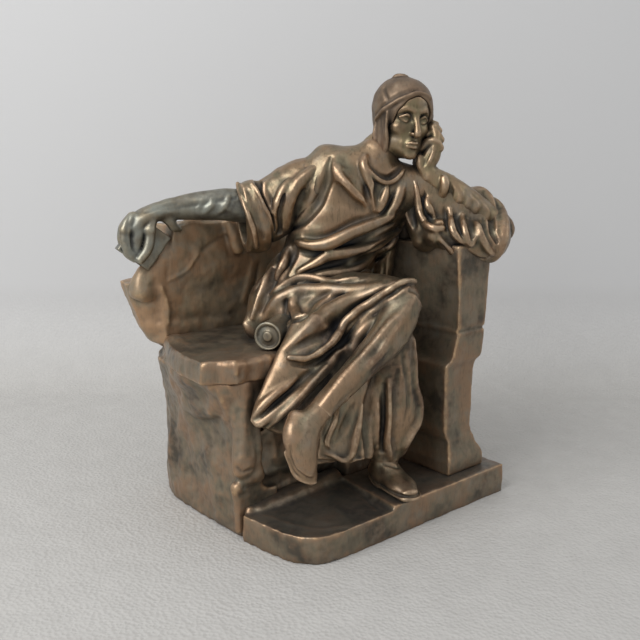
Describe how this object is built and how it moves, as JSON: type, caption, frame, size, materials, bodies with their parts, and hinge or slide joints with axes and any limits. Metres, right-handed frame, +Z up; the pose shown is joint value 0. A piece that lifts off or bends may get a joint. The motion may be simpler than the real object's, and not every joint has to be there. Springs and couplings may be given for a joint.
{
  "type": "poet statue",
  "caption": "Cast bronze statuette of a robed, capped poet seated cross-legged on a rock-cut bench, one arm along the back over a book, the head resting on the other hand.",
  "frame": {"origin": "middle of the bounding box's footprint, on the table under the felt", "axes": "+Z up, +X along the front of the plinth to the armrest on the figure's left, -Y out of the front towards the viewer, +Y to the back wall"},
  "size_m": [0.1578, 0.1262, 0.1977],
  "materials": {
    "stone_bronze": "cast bronze with a dark brown and blue-black patina, edges rubbed to copper",
    "figure_bronze": "cast bronze with an olive-brown patina, folds rubbed to copper and gold",
    "cap_bronze": "cast bronze with a matte copper-brown patina",
    "greened_bronze": "cast bronze with a greenish-grey patina",
    "plate_steel": "steel sheet painted matte black",
    "felt": "dark green felt",
    "steel": "zinc-plated steel"
  },
  "bodies": {
    "root": {"plinth_terrace": "stone_bronze", "rock_bench": "stone_bronze", "seat_slab": "stone_bronze", "back_wall": "stone_bronze", "armrest_pillar": "stone_bronze", "robe": "figure_bronze", "torso": "figure_bronze", "right_sleeve": "figure_bronze", "right_forearm": "greened_bronze", "left_sleeve": "figure_bronze", "left_forearm": "figure_bronze", "head": "figure_bronze", "cap": "cap_bronze", "left_shoe": "figure_bronze", "right_shoe": "figure_bronze", "book": "greened_bronze", "scroll": "figure_bronze", "base_plate": "plate_steel", "base_felt": "felt", "figure_left_stud": "steel", "figure_left_washer": "steel", "figure_left_nut": "steel", "figure_right_stud": "steel", "figure_right_washer": "steel", "figure_right_nut": "steel", "back_left_stud": "steel", "back_left_washer": "steel", "back_left_nut": "steel", "back_right_stud": "steel", "back_right_washer": "steel", "back_right_nut": "steel", "armrest_stud": "steel", "armrest_washer": "steel", "armrest_nut": "steel", "plate_screw_1": "steel", "plate_screw_2": "steel", "plate_screw_3": "steel", "plate_screw_4": "steel"}
  },
  "joints": []
}
